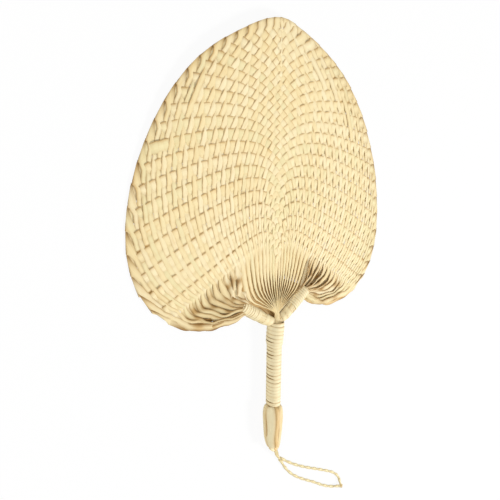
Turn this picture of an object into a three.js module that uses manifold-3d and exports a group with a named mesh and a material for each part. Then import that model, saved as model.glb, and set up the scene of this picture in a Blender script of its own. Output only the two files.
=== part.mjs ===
// Woven straw hand fan: a peach-shaped blade of crossed leaf strips, gathered into two bound
// shoulders and a wound straw handle, with a folded leaf butt and a twisted hanging loop.
// Millimetres. It lies on the plane Z = 0, its handle along -Y, the domed face up.
import * as THREE from 'three';
import { mergeVertices } from 'three/addons/utils/BufferGeometryUtils.js';
import Module from 'manifold-3d';

const wasm = await Module();
wasm.setup();

// Clearances between pieces that touch in the real fan, the second one where strips cross.
const GAP = 0.35;
const CROSSING_GAP = 0.5;

// Blade: overall sizes, dome height and the plaited edge.
const BLADE_HEIGHT = 261;
const HALF_WIDTH = 141;
const CROWN = 8;
const EDGE_WIDTH = 4.2;
const EDGE_THICKNESS = 3;
const EDGE_FLAT = 0.5;
const EDGE_STEPS = 44;

// Strips: how many leaves each side of the model stands for as one band, and their section.
const STRIPS_PER_SIDE = 10;
const STRIP_THICKNESS = 0.8;
const STRIP_FILL = 0.84;
const STRIPS_IN_SHOULDER = 4;

// Neck: where the strips stop crossing and run on as free ribs into the pleats.
const NECK_RISE = 10;
const RIB_LENGTH = 66;
const PLEAT_RADIUS = 30;
const PLEAT_THICKNESS = 4.4;

// Shoulders: two bundles of strips, each bound with one thin strip.
const SHOULDER_RADIUS = 5.2;
const SHOULDER_ROOT_RADIUS = 2.9;
const SHOULDER_LENGTH = 45;
const SHOULDER_BEND = 16;
const SHOULDER_SIDES = 12;
const LEFT_SHOULDER_ANGLE = 58;
const RIGHT_SHOULDER_ANGLE = 49;
const SHOULDER_TURNS = 8;
const SHOULDER_PITCH = 2.8;
const SHOULDER_STRIP_WIDTH = 2.2;
const SHOULDER_STRIP_THICKNESS = 0.7;

// Handle: a core of straw wound with one flat strip.
const CORE_RADIUS = 6.2;
const WOUND_LENGTH = 79;
const WINDING_TURNS = 22;
const WINDING_STRIP_WIDTH = 2.9;
const WINDING_STRIP_THICKNESS = 0.9;
const WINDING_STEPS = 18;
const BINDING_STEPS = 12;

// Butt: six folded leaves round the core's lower end.
const BUTT_LENGTH = 47.5;
const BUTT_TOP_RADIUS = 7.6;
const BUTT_RADIUS = 9.6;
const BUTT_TIP_RADIUS = 3.7;
const LEAF_THICKNESS = 1.5;
const BUTT_SEAMS = [-75, -22, 22, 70, 150, 210, 285];

// Hanging loop: cord, the neck that it swings on and the knot at its far end.
const CORD_DIAMETER = 2.3;
const NECK_BALL_RADIUS = 1.7;
const NECK_CORD_RADIUS = 1.2;
const TOGGLE_RADIUS = 1.6;
const TOGGLE_LENGTH = 5;
const KNOT_RADIUS = 2.5;
const CORD_SIDES = 8;
const CORD_STEPS = 36;

// Places worked out from the sizes, counted from the butt's end before the model is centred.
const NECK_Y = BUTT_LENGTH + WOUND_LENGTH;
const LOBE_Y = NECK_Y + NECK_RISE;
const FAN_LENGTH = LOBE_Y + BLADE_HEIGHT;
const CURVATURE = CROWN / HALF_WIDTH ** 2;
const EDGE_DROP = CURVATURE * (HALF_WIDTH - EDGE_WIDTH / 2) ** 2;
const AXIS_Z = EDGE_DROP + EDGE_THICKNESS / 2 - EDGE_FLAT;
const degrees = Math.PI / 180;

const STRAW = 0xe9d39a;
const STRAW_PALE = 0xefdfb2;
const STRAW_DRY = 0xd9b06a;

const fan = new THREE.Group();
fan.position.y = -FAN_LENGTH / 2;

function addMesh(name, geometry, color) {
  const material = new THREE.MeshStandardMaterial({ color, roughness: 0.75, metalness: 0 });
  const mesh = new THREE.Mesh(geometry, material);
  mesh.name = name;
  fan.add(mesh);
  return mesh;
}

// A closed body through rings of points, one ring after the other, with flat end caps.
function loft(rings) {
  const sides = rings[0].length;
  const positions = rings.flatMap((ring) => ring.flatMap((point) => [point.x, point.y, point.z]));
  const faces = [];
  for (let k = 0; k + 1 < rings.length; k += 1) {
    for (let i = 0; i < sides; i += 1) {
      const a = k * sides + i;
      const b = k * sides + ((i + 1) % sides);
      faces.push([a, b, b + sides], [a, b + sides, a + sides]);
    }
  }
  const last = (rings.length - 1) * sides;
  for (let i = 1; i + 1 < sides; i += 1) {
    faces.push([0, i + 1, i], [last, last + i, last + i + 1]);
  }
  const corner = (index) => new THREE.Vector3().fromArray(positions, 3 * index);
  let volume = 0;
  for (const [a, b, c] of faces) {
    volume += corner(a).dot(corner(b).cross(corner(c)));
  }
  const outward = volume > 0 ? faces : faces.map(([a, b, c]) => [a, c, b]);
  const geometry = new THREE.BufferGeometry();
  geometry.setAttribute('position', new THREE.Float32BufferAttribute(positions, 3));
  geometry.setIndex(outward.flat());
  geometry.computeVertexNormals();
  return geometry;
}

function toManifold(geometry) {
  const plain = geometry.clone();
  plain.deleteAttribute('normal');
  plain.deleteAttribute('uv');
  const merged = mergeVertices(plain, 1e-4);
  return new wasm.Manifold(new wasm.Mesh({
    numProp: 3,
    vertProperties: new Float32Array(merged.attributes.position.array),
    triVerts: new Uint32Array(merged.index.array),
  }));
}

function fromManifold(solid) {
  const mesh = solid.getMesh();
  const geometry = new THREE.BufferGeometry();
  geometry.setAttribute('position', new THREE.Float32BufferAttribute(mesh.vertProperties, 3));
  geometry.setIndex(Array.from(mesh.triVerts));
  geometry.computeVertexNormals();
  return geometry;
}

// The table side of a piece, cut flat where it would reach below Z = 0.
function cutAtTable(geometry) {
  const block = new THREE.BoxGeometry(4 * HALF_WIDTH, 4 * FAN_LENGTH, FAN_LENGTH);
  block.translate(0, 0, -FAN_LENGTH / 2);
  return fromManifold(toManifold(geometry).subtract(toManifold(block)));
}

const domeZ = (x) => AXIS_Z - CURVATURE * x * x;
const onDome = (point, lift = 0) => new THREE.Vector3(point.x, point.y, domeZ(point.x) + lift);
const mirrored = (point) => new THREE.Vector2(-point.x, point.y);

// Blade outline: shares of the half width and of the blade's height, from the tip down one side.
const OUTLINE = [
  [0.234, 0.958], [0.539, 0.856], [0.73, 0.741], [0.858, 0.621], [0.954, 0.479], [1, 0.287],
  [0.961, 0.169], [0.897, 0.096], [0.787, 0.038], [0.631, 0.008], [0.461, 0], [0.312, 0.034],
];
const side = OUTLINE.map(([x, y]) => [x * HALF_WIDTH, LOBE_Y + y * BLADE_HEIGHT]);
const outline = new THREE.CatmullRomCurve3([
  ...side.map(([x, y]) => new THREE.Vector3(-x, y, 0)).reverse(),
  new THREE.Vector3(0, FAN_LENGTH, 0),
  ...side.map(([x, y]) => new THREE.Vector3(x, y, 0)),
], false, 'centripetal');
outline.arcLengthDivisions = 800;

// A point of the left edge, from the tip at 0 to the shoulder at 1, moved inward by an inset.
function leftEdge(share, inset) {
  const at = 0.5 - share / 2;
  const point = outline.getPointAt(at);
  const along = outline.getTangentAt(at);
  return new THREE.Vector2(point.x + along.y * inset, point.y - along.x * inset);
}

// The strips' net. A row starts on the left edge, rises to the centre line and turns down the
// right side into the neck; the other family is its mirror image.
const NET_INSET = EDGE_WIDTH + 2 * GAP;
const NET_TOP = FAN_LENGTH - NET_INSET;
const NET_BOTTOM = NECK_Y + RIB_LENGTH;
const ROW_START_ANGLE = -20;
const ROW_ANGLE_RANGE = 110;
const ROW_EVENNESS = 0.85;

function rowPoint(row, share) {
  const start = leftEdge(row, NET_INSET);
  const height = NET_TOP - NET_BOTTOM;
  const drop = ROW_EVENNESS * row + (1 - ROW_EVENNESS) * row ** 4;
  const dropRate = ROW_EVENNESS + 4 * (1 - ROW_EVENNESS) * row ** 3;
  const end = new THREE.Vector2(0, NET_TOP - height * drop);
  const length = start.distanceTo(end);
  const angle = (ROW_START_ANGLE + ROW_ANGLE_RANGE * row ** 1.5) * degrees;
  const leave = new THREE.Vector2(Math.cos(angle), Math.sin(angle)).multiplyScalar(length);
  const fall = 0.425 * (1 - 0.8 * row ** 5) * row * height * dropRate;
  const arrive = new THREE.Vector2(length, -fall);
  const s2 = share * share;
  const s3 = s2 * share;
  return new THREE.Vector2()
    .addScaledVector(start, 2 * s3 - 3 * s2 + 1)
    .addScaledVector(leave, s3 - 2 * s2 + share)
    .addScaledVector(end, 3 * s2 - 2 * s3)
    .addScaledVector(arrive, s3 - s2);
}

// u counts the strips that run down the left side, v those that run down the right side.
function netPoint(u, v) {
  if (v >= u) {
    return rowPoint(v, v > 0 ? u / v : 0);
  }
  return mirrored(rowPoint(u, v / u));
}

// A shoulder bundle: its axis leaves the handle's top, bends out and runs straight to its mouth.
const OVERLAY = (STRIP_THICKNESS + CROSSING_GAP) / 2;
const BOUND_RADIUS = SHOULDER_RADIUS + 4 * GAP + SHOULDER_STRIP_THICKNESS;

function shoulderFrame(sign, angle) {
  const along = new THREE.Vector2(sign * Math.sin(angle * degrees), Math.cos(angle * degrees));
  const across = new THREE.Vector2(-sign * along.y, sign * along.x);
  const neck = new THREE.Vector2(0, NECK_Y);
  const mouth = neck.clone().addScaledVector(along, SHOULDER_LENGTH);
  const bend = onDome(neck.clone().addScaledVector(along, SHOULDER_BEND));
  const axis = onDome(mouth).sub(bend).normalize();
  return { sign, angle, along, across, mouth, bend, axis };
}

const leftShoulder = shoulderFrame(-1, LEFT_SHOULDER_ANGLE);
const rightShoulder = shoulderFrame(1, RIGHT_SHOULDER_ANGLE);

function roundRing(centre, along, radius, sides) {
  const up = new THREE.Vector3(0, 0, 1);
  const across = new THREE.Vector3().crossVectors(along, up).normalize();
  const lift = new THREE.Vector3().crossVectors(across, along).normalize();
  return Array.from({ length: sides }, (unused, i) => {
    const turn = (2 * Math.PI * (i + 0.5)) / sides;
    return centre.clone()
      .addScaledVector(across, radius * Math.cos(turn))
      .addScaledVector(lift, radius * Math.sin(turn));
  });
}

function shoulderBundle(frame, extra) {
  const rise = new THREE.Vector3(0, SHOULDER_ROOT_RADIUS, 0);
  const foot = new THREE.Vector3(frame.sign * (SHOULDER_ROOT_RADIUS + GAP), NECK_Y + GAP, AXIS_Z);
  const mouth = onDome(frame.mouth);
  const root = new THREE.CatmullRomCurve3([
    foot, foot.clone().add(rise), frame.bend, mouth,
  ], false, 'centripetal');
  const steps = 6;
  const bendShare = 2 / 3;
  const rings = [];
  for (let k = 0; k < steps; k += 1) {
    const t = (bendShare * k) / steps;
    const centre = root.getPoint(t);
    const radius = Math.min(SHOULDER_RADIUS, Math.abs(centre.x) - GAP) + extra;
    rings.push(roundRing(centre, root.getTangent(t), radius, SHOULDER_SIDES));
  }
  for (const point of [frame.bend, mouth]) {
    rings.push(roundRing(point, frame.axis, SHOULDER_RADIUS + extra, SHOULDER_SIDES));
  }
  return loft(rings);
}

// A flat strip wound round a straight axis from its underside; both ends run straight for one
// strip width.
function winding(name, origin, along, inner, width, thickness, pitch, turns, steps) {
  const up = new THREE.Vector3(0, 0, 1);
  const across = new THREE.Vector3().crossVectors(along, up).normalize();
  const lift = new THREE.Vector3().crossVectors(across, along).normalize();
  const middle = inner / Math.cos(Math.PI / steps) + thickness / 2;
  const count = turns * steps;
  const frames = [];
  for (let k = 0; k <= count; k += 1) {
    const turn = (2 * Math.PI * k) / steps - Math.PI / 2;
    const out = across.clone().multiplyScalar(Math.cos(turn))
      .addScaledVector(lift, Math.sin(turn));
    const round = lift.clone().multiplyScalar(Math.cos(turn))
      .addScaledVector(across, -Math.sin(turn));
    const centre = origin.clone().addScaledVector(out, middle)
      .addScaledVector(along, (pitch * k) / steps);
    frames.push({ centre, out, round });
  }
  const first = frames[0];
  const last = frames[count];
  frames.unshift({ ...first, centre: first.centre.clone().addScaledVector(first.round, -width) });
  frames.push({ ...last, centre: last.centre.clone().addScaledVector(last.round, width) });
  const rings = frames.map(({ centre, out }) => [[-1, -1], [1, -1], [1, 1], [-1, 1]]
    .map(([a, b]) => centre.clone()
      .addScaledVector(along, (a * width) / 2)
      .addScaledVector(out, (b * thickness) / 2)));
  let least = Infinity;
  for (let k = 1; k < rings.length; k += 1) {
    for (let m = k + Math.ceil(steps * 0.75); m < rings.length; m += 1) {
      for (const p of rings[k]) {
        for (const q of rings[m]) {
          least = Math.min(least, p.distanceTo(q));
        }
      }
    }
  }
  console.log(`${name}: least gap of the wound strip to itself ${least.toFixed(2)} mm`);
  return loft(rings);
}

// Blade strips. Each crosses the other family alternately over and under, then runs on as a rib.
const pitch = 1 / STRIPS_PER_SIDE;
const halfStrip = (STRIP_FILL * pitch) / 2;
const ribsPerSide = STRIPS_PER_SIDE - STRIPS_IN_SHOULDER;

function stripEnd(frame, index) {
  if (index < STRIPS_IN_SHOULDER) {
    const slot = (2 * SHOULDER_RADIUS) / STRIPS_IN_SHOULDER;
    const place = (index + 0.5) * slot - SHOULDER_RADIUS;
    const half = slot / 2 - GAP;
    const face = frame.mouth.clone().addScaledVector(frame.along, GAP);
    const outer = face.clone().addScaledVector(frame.across, place - half);
    const inner = face.clone().addScaledVector(frame.across, place + half);
    return [outer, inner];
  }
  const reach = PLEAT_RADIUS + GAP;
  const free = frame.angle * degrees - Math.asin((BOUND_RADIUS + GAP) / reach);
  const slot = free / ribsPerSide;
  const middle = (STRIPS_PER_SIDE - index - 0.5) * slot;
  const half = slot / 2 - GAP / reach;
  return [middle + half, middle - half].map((angle) => new THREE.Vector2(
    frame.sign * reach * Math.sin(angle),
    NECK_Y + reach * Math.cos(angle),
  ));
}

function bladeStrip(sideName, index) {
  const left = sideName === 'left';
  const frame = left ? leftShoulder : rightShoulder;
  const at = (own, other) => (left ? netPoint(own, other) : netPoint(other, own));
  const u = (index + 0.5) * pitch;
  const edges = [u - halfStrip, u + halfStrip];
  const across = (other) => edges.map((own) => at(own, other));
  const sections = [{ points: across(0), lift: 0 }];
  for (let j = 0; j < STRIPS_PER_SIDE; j += 1) {
    const v = (j + 0.5) * pitch;
    const over = (index + j) % 2 === 0 ? 1 : -1;
    const lift = (left ? over : -over) * OVERLAY;
    for (const place of [v - halfStrip, v + halfStrip]) {
      sections.push({ points: across(place), lift });
    }
  }
  sections.push({ points: across(1), lift: 0 });
  sections.push({ points: stripEnd(frame, index), lift: 0 });
  const half = STRIP_THICKNESS / 2;
  return loft(sections.map(({ points: [outer, inner], lift }) => [
    onDome(outer, lift - half), onDome(inner, lift - half),
    onDome(inner, lift + half), onDome(outer, lift + half),
  ]));
}

for (const sideName of ['left', 'right']) {
  for (let index = 0; index < STRIPS_PER_SIDE; index += 1) {
    const number = String(index + 1).padStart(2, '0');
    addMesh(`${sideName}_strip_${number}`, bladeStrip(sideName, index), STRAW_PALE);
  }
}

// Plaited edge: the strips' folded ends, one length each side from the tip to the shoulder.
function edgeBand(sign) {
  const rings = [];
  const start = GAP / 2 / HALF_WIDTH;
  for (let k = 0; k <= EDGE_STEPS; k += 1) {
    const share = start + ((1 - start) * k) / EDGE_STEPS;
    const outer = leftEdge(share, 0);
    const inner = leftEdge(share, EDGE_WIDTH);
    if (k === 0) {
      outer.x = -GAP / 2;
      inner.x = -GAP / 2;
    }
    const centre = outer.clone().lerp(inner, 0.5);
    const corners = [[outer, 0], [centre, -1], [inner, -0.8], [inner, 0.8], [centre, 1]];
    rings.push(corners.map(([point, level]) => new THREE.Vector3(
      -sign * point.x,
      point.y,
      domeZ(centre.x) + (level * EDGE_THICKNESS) / 2,
    )));
  }
  return cutAtTable(loft(rings));
}

addMesh('left_edge', edgeBand(-1), STRAW_DRY);
addMesh('right_edge', edgeBand(1), STRAW_DRY);

// Shoulder bundles and their bindings.
const shoulders = { left: leftShoulder, right: rightShoulder };
for (const [sideName, frame] of Object.entries(shoulders)) {
  addMesh(`${sideName}_shoulder`, shoulderBundle(frame, 0), STRAW);
  const wound = SHOULDER_TURNS * SHOULDER_PITCH + SHOULDER_STRIP_WIDTH;
  const start = onDome(frame.mouth).addScaledVector(frame.axis, -wound);
  addMesh(`${sideName}_shoulder_binding`, winding(
    `${sideName}_shoulder_binding`,
    start,
    frame.axis,
    SHOULDER_RADIUS + GAP,
    SHOULDER_STRIP_WIDTH,
    SHOULDER_STRIP_THICKNESS,
    SHOULDER_PITCH,
    SHOULDER_TURNS,
    BINDING_STEPS,
  ), STRAW_PALE);
}

// Pleats: the ribs pressed together above the handle, between the two shoulders.
function pleats() {
  const shape = new THREE.Shape();
  shape.moveTo(0, SHOULDER_RADIUS);
  const spread = LEFT_SHOULDER_ANGLE * degrees;
  const steps = 16;
  for (let k = 0; k <= steps; k += 1) {
    const angle = spread - (2 * spread * k) / steps;
    shape.lineTo(PLEAT_RADIUS * Math.sin(angle), PLEAT_RADIUS * Math.cos(angle));
  }
  const plate = new THREE.ExtrudeGeometry(shape, { depth: PLEAT_THICKNESS, bevelEnabled: false });
  plate.translate(0, NECK_Y, AXIS_Z - PLEAT_THICKNESS / 2);
  let solid = toManifold(plate);
  for (const frame of Object.values(shoulders)) {
    solid = solid.subtract(toManifold(shoulderBundle(frame, BOUND_RADIUS - SHOULDER_RADIUS)));
  }
  return fromManifold(solid);
}

addMesh('neck_pleats', pleats(), STRAW);

// Handle core and its winding.
const BALL_Y = NECK_BALL_RADIUS + GAP;
const CORE_FOOT_Y = BALL_Y + NECK_BALL_RADIUS + GAP;
const buttProfile = new THREE.CatmullRomCurve3([
  new THREE.Vector3(BUTT_TIP_RADIUS, 0, 0),
  new THREE.Vector3(BUTT_RADIUS * 0.79, BUTT_LENGTH * 0.28, 0),
  new THREE.Vector3(BUTT_RADIUS * 0.96, BUTT_LENGTH * 0.62, 0),
  new THREE.Vector3(BUTT_RADIUS, BUTT_LENGTH * 0.88, 0),
  new THREE.Vector3(BUTT_TOP_RADIUS, BUTT_LENGTH - GAP, 0),
], false, 'centripetal');

const buttSection = Array.from({ length: 13 }, (unused, k) => buttProfile.getPoint(k / 12));

function buttRadius(y) {
  const next = buttSection.findIndex((point) => point.y >= y);
  const k = next < 0 ? buttSection.length - 1 : Math.max(1, next);
  const [low, high] = [buttSection[k - 1], buttSection[k]];
  return THREE.MathUtils.mapLinear(y, low.y, high.y, low.x, high.x);
}

const coreProfile = [new THREE.Vector2(0, CORE_FOOT_Y)];
for (const share of [0, 0.25, 0.5, 0.75, 1]) {
  const y = THREE.MathUtils.lerp(CORE_FOOT_Y, BUTT_LENGTH - GAP, share);
  const room = buttRadius(y) - LEAF_THICKNESS - 2 * GAP;
  coreProfile.push(new THREE.Vector2(Math.min(CORE_RADIUS, room), y));
}
coreProfile.push(new THREE.Vector2(CORE_RADIUS, BUTT_LENGTH + GAP));
coreProfile.push(new THREE.Vector2(CORE_RADIUS, NECK_Y));
coreProfile.push(new THREE.Vector2(0, NECK_Y));
const core = addMesh('handle_core', new THREE.LatheGeometry(coreProfile, 18), STRAW);
core.position.z = AXIS_Z;

const windingPitch = (WOUND_LENGTH - GAP - WINDING_STRIP_WIDTH) / WINDING_TURNS;
addMesh('handle_winding', winding(
  'handle_winding',
  new THREE.Vector3(0, BUTT_LENGTH + WINDING_STRIP_WIDTH / 2, AXIS_Z),
  new THREE.Vector3(0, 1, 0),
  CORE_RADIUS + GAP,
  WINDING_STRIP_WIDTH,
  WINDING_STRIP_THICKNESS,
  windingPitch,
  WINDING_TURNS,
  WINDING_STEPS,
), STRAW_PALE);

// Butt leaves: shells between two seams. The front and back ones run on past the loop's root.
function buttLeaf(fromAngle, toAngle, footY) {
  const facets = 4;
  const ys = [footY, ...buttSection.map((point) => point.y).filter((y) => y > footY + 1)];
  return loft(ys.map((y) => {
    const outer = buttRadius(y);
    const corner = (radius, share) => {
      const slack = GAP / 2 / radius / degrees;
      const angle = THREE.MathUtils.lerp(fromAngle + slack, toAngle - slack, share) * degrees;
      return new THREE.Vector3(radius * Math.sin(angle), y, AXIS_Z + radius * Math.cos(angle));
    };
    const ring = [];
    for (let k = 0; k <= facets; k += 1) {
      ring.push(corner(outer, k / facets));
    }
    for (let k = facets; k >= 0; k -= 1) {
      ring.push(corner(outer - LEAF_THICKNESS, k / facets));
    }
    return ring;
  }));
}

const LEAVES = [
  ['butt_leaf_front_left', false], ['butt_leaf_front', true], ['butt_leaf_front_right', false],
  ['butt_leaf_right', false], ['butt_leaf_back', true], ['butt_leaf_left', false],
];
LEAVES.forEach(([name, holdsLoop], k) => {
  const foot = holdsLoop ? 0 : CORE_FOOT_Y;
  const leaf = buttLeaf(BUTT_SEAMS[k], BUTT_SEAMS[k + 1], foot);
  addMesh(name, cutAtTable(leaf), k % 2 ? STRAW_DRY : STRAW);
});

// Hanging loop. Its neck turns on a ball between the front and back leaves, and the two runs of
// cord lift on the toggle at the neck's end. The points lie on the table, from the photograph.
const LOOP_HEADING = -42;
const LOOP_SPLIT = new THREE.Vector3(12.5, -17.3, TOGGLE_RADIUS + GAP);
const UPPER_RUN = [[23, -24.6], [34.6, -32.5], [48.4, -40.3], [66.3, -49.2], [82.6, -57.5], [91, -62.6],
  [98.2, -70]];
const LOWER_RUN = [[19.6, -28.6], [27.1, -38.3], [37.3, -47.4], [49, -55.2], [62.2, -63.2],
  [73.4, -70.6], [86.1, -77.4]];
const KNOT = new THREE.Vector3(102.5, -82.6, KNOT_RADIUS);

const heading = new THREE.Vector3(Math.cos(LOOP_HEADING * degrees), Math.sin(LOOP_HEADING * degrees), 0);
const hingeAxis = new THREE.Vector3(heading.y, -heading.x, 0);
const ball = new THREE.Vector3(0, BALL_Y, AXIS_Z);

function loopNeck() {
  const toSplit = LOOP_SPLIT.clone().sub(ball).setZ(0).normalize();
  const path = new THREE.CatmullRomCurve3([
    ball,
    ball.clone().addScaledVector(toSplit, 3 * NECK_BALL_RADIUS),
    LOOP_SPLIT.clone().addScaledVector(toSplit, -3 * TOGGLE_RADIUS).add(new THREE.Vector3(0, 0, 1)),
    LOOP_SPLIT,
  ], false, 'centripetal');
  const steps = 12;
  const stem = loft(Array.from({ length: steps + 1 }, (unused, k) => (
    roundRing(path.getPointAt(k / steps), path.getTangentAt(k / steps), NECK_CORD_RADIUS, 8)
  )));
  const root = new THREE.SphereGeometry(NECK_BALL_RADIUS, 12, 8);
  root.translate(ball.x, ball.y, ball.z);
  const toggle = new THREE.CylinderGeometry(TOGGLE_RADIUS, TOGGLE_RADIUS, TOGGLE_LENGTH, 12);
  toggle.rotateZ(Math.atan2(hingeAxis.y, hingeAxis.x) - Math.PI / 2);
  toggle.translate(LOOP_SPLIT.x, LOOP_SPLIT.y, LOOP_SPLIT.z);
  return fromManifold(toManifold(stem).add(toManifold(root)).add(toManifold(toggle)));
}

addMesh('loop_neck', loopNeck(), STRAW);

// One run of cord from the toggle's face to the knot's, a little above the table.
function cordRun(points, sign) {
  const height = CORD_DIAMETER / 2 + 0.1;
  const start = LOOP_SPLIT.clone()
    .addScaledVector(heading, TOGGLE_RADIUS + GAP)
    .addScaledVector(hingeAxis, (sign * (CORD_DIAMETER + GAP)) / 2);
  const route = points.map(([x, y]) => new THREE.Vector3(x, y, height));
  const before = route[route.length - 1];
  const toKnot = KNOT.clone().sub(before).normalize();
  const end = KNOT.clone().addScaledVector(toKnot, -(KNOT_RADIUS + GAP));
  const out = start.clone().addScaledVector(heading, 1.5 * CORD_DIAMETER);
  out.z = (start.z + height) / 2;
  return new THREE.CatmullRomCurve3([start, out, ...route, end], false, 'centripetal');
}

function cordTube(curve) {
  const section = new THREE.Shape();
  for (let k = 0; k < CORD_SIDES; k += 1) {
    const turn = (2 * Math.PI * (k + 0.5)) / CORD_SIDES;
    const x = (CORD_DIAMETER / 2) * Math.cos(turn);
    const y = (CORD_DIAMETER / 2) * Math.sin(turn);
    if (k === 0) {
      section.moveTo(x, y);
    } else {
      section.lineTo(x, y);
    }
  }
  section.closePath();
  return new THREE.ExtrudeGeometry(section, { steps: CORD_STEPS, extrudePath: curve });
}

const upperCurve = cordRun(UPPER_RUN, -1);
const lowerCurve = cordRun(LOWER_RUN, 1);
addMesh('loop_cord_upper', cordTube(upperCurve), STRAW);
addMesh('loop_cord_lower', cordTube(lowerCurve), STRAW);
const cordLength = upperCurve.getLength() + lowerCurve.getLength();
console.log(`hanging loop: ${cordLength.toFixed(0)} mm of cord in its two runs`);

const knot = addMesh('loop_knot', new THREE.IcosahedronGeometry(KNOT_RADIUS, 1), STRAW);
knot.position.copy(KNOT);

export default fan;
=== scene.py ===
import math

import bpy
import numpy as np
from mathutils import Matrix, Vector


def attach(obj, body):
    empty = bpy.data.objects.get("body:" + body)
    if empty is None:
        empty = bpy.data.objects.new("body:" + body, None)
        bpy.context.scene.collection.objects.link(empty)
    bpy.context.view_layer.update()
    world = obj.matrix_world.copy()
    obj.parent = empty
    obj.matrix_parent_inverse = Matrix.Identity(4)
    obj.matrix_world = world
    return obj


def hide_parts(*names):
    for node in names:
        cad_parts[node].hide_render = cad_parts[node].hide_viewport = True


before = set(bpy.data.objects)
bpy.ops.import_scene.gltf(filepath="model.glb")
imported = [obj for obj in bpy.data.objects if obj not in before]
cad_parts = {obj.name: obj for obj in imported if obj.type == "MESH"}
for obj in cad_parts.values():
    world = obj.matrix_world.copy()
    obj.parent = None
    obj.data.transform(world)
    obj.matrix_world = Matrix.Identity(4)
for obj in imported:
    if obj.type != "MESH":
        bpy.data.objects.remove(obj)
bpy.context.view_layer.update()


# ---- Table, light and camera
# The fan lies on a plain white table with its domed face up. The main lamp stands to its right,
# beyond the handle's end, a weaker one to its left, and the camera looks down from the left.
class Wire:
    """One value in a finish, so that a shade is written as a sum or a product."""

    def __init__(self, finish, socket):
        self.finish = finish
        self.socket = socket

    def math(self, operation, *values):
        return self.finish.node("ShaderNodeMath", dict(enumerate(values)), operation=operation)[0]

    def __add__(self, other):
        return self.math("ADD", self, other)

    __radd__ = __add__

    def __sub__(self, other):
        return self.math("SUBTRACT", self, other)

    def __rsub__(self, other):
        return self.math("SUBTRACT", other, self)

    def __mul__(self, other):
        return self.math("MULTIPLY", self, other)

    __rmul__ = __mul__

    def __pow__(self, other):
        return self.math("POWER", self, other)

    def __rpow__(self, other):
        return self.math("POWER", other, self)

    def __abs__(self):
        return self.math("ABSOLUTE", self)

    def fraction(self):
        return self.math("FRACT", self)

    def clamp(self):
        return self.math("MAXIMUM", self.math("MINIMUM", self, 1.0), 0.0)


class Finish:
    """A node material, made by naming nodes and what goes into them."""

    def __init__(self, owner):
        owner.use_nodes = True
        self.owner = owner
        self.tree = owner.node_tree
        self.tree.nodes.clear()

    def node(self, kind, inputs=None, **settings):
        made = self.tree.nodes.new(kind)
        for key, value in settings.items():
            setattr(made, key, value)
        for key, value in (inputs or {}).items():
            socket = made.inputs[key]
            if isinstance(value, Wire):
                self.tree.links.new(value.socket, socket)
            elif socket.type == "RGBA":
                socket.default_value = (*value, 1)
            else:
                socket.default_value = value
        return [Wire(self, socket) for socket in made.outputs]

    def mix(self, share, first, second):
        return self.node("ShaderNodeMix", {0: share, 6: first, 7: second}, data_type="RGBA")[2]

    def seen_directly(self):
        """1 for what the camera sees, straight or in a reflection, and 0 for light on the fan."""
        camera, _, _, glossy, _, _, transmission = self.node("ShaderNodeLightPath")[:7]
        return (camera + glossy + transmission).clamp()


WHITE = (1, 1, 1)
TABLE_COLOUR = (0.86, 0.86, 0.85)
TABLE_REACH = 3
TABLE_DROP = 0.0004
TABLE_GLOW = 0.92
ROOM_LIGHT = 0.40

corners = [(x * TABLE_REACH, y * TABLE_REACH, 0) for x, y in ((-1, -1), (1, -1), (1, 1), (-1, 1))]
table_mesh = bpy.data.meshes.new("table")
table_mesh.from_pydata(corners, [], [(0, 1, 2, 3)])
table = bpy.data.objects.new("table", table_mesh)
bpy.context.scene.collection.objects.link(table)
table.location.z = -TABLE_DROP

paint = Finish(bpy.data.materials.new("white table"))
lit = paint.node("ShaderNodeBsdfDiffuse", {"Color": TABLE_COLOUR})[0]
glow = paint.node("ShaderNodeEmission", {"Color": WHITE})[0]
share = paint.seen_directly() * TABLE_GLOW
blend = paint.node("ShaderNodeMixShader", {0: share, 1: lit, 2: glow})[0]
paint.node("ShaderNodeOutputMaterial", {"Surface": blend})
table_mesh.materials.append(paint.owner)

world = bpy.data.worlds.new("studio")
bpy.context.scene.world = world
air = Finish(world)
strength = air.seen_directly() * (1 - ROOM_LIGHT) + ROOM_LIGHT
glow = air.node("ShaderNodeBackground", {"Color": WHITE, "Strength": strength})[0]
air.node("ShaderNodeOutputWorld", {"Surface": glow})


def lamp(name, place, size, power):
    light = bpy.data.lights.new(name, "AREA")
    light.shape = "DISK"
    light.size = size
    light.energy = power
    holder = bpy.data.objects.new(name, light)
    holder.location = place
    holder.rotation_euler = (-Vector(place)).to_track_quat("-Z", "Y").to_euler()
    bpy.context.scene.collection.objects.link(holder)


lamp("right lamp", (1.55, -1.05, 1.45), 0.5, 43)
lamp("left lamp", (-1.5, 0.5, 1.6), 1.6, 22)

MM = 0.001
AXIS_Z = 8.764  # height of the handle's axis and of the blade's middle line, in millimetres
LENS = 36.955
SENSOR = 36
AIM = Vector((-0.030153, 0.001867, AXIS_Z * MM))
DISTANCE = 0.45

camera_data = bpy.data.cameras.new("camera")
camera_data.lens = LENS
camera_data.sensor_width = SENSOR
camera = bpy.data.objects.new("camera", camera_data)
bpy.context.scene.collection.objects.link(camera)
bpy.context.scene.camera = camera
turn = (
    Matrix.Rotation(-0.607054, 3, "Y")
    @ Matrix.Rotation(-0.175212, 3, "X")
    @ Matrix.Rotation(0.010465, 3, "Z")
)
camera.matrix_world = Matrix.Translation(AIM + turn.col[2] * DISTANCE) @ turn.to_4x4()
bpy.context.scene.view_settings.view_transform = "Standard"


# ---- Hanging loop
# A cord twisted from strands of leaf comes out of the butt and divides into two runs, which lie on
# the table and meet in a small knot. The root has three strands and each run has two.

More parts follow.
